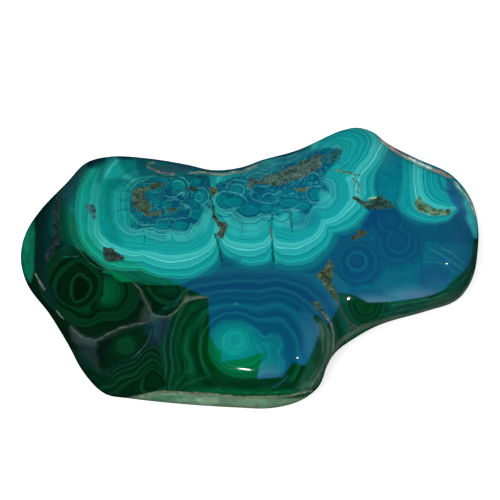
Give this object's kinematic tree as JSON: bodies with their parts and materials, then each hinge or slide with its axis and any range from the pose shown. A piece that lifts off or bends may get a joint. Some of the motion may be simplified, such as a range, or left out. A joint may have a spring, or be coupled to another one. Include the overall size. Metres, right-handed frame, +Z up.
{
  "type": "polished malachite",
  "caption": "Polished banded malachite stone: a flattish freeform nodule with rounded edges and a gently domed face, resting on its flat underside as a display piece.",
  "frame": {"origin": "middle of the stone's footprint box, on the surface it rests on", "axes": "+X from the left tip to the right tip, +Y from the front edge to the back crown, +Z up out of the polished face"},
  "size_m": [0.1212, 0.0786, 0.0308],
  "materials": {
    "malachite": "high gloss polish; concentric and scalloped bands of turquoise, teal, blue-green and dark green, with brown matrix specks"
  },
  "bodies": {
    "root": {"stone": "malachite"}
  },
  "joints": []
}
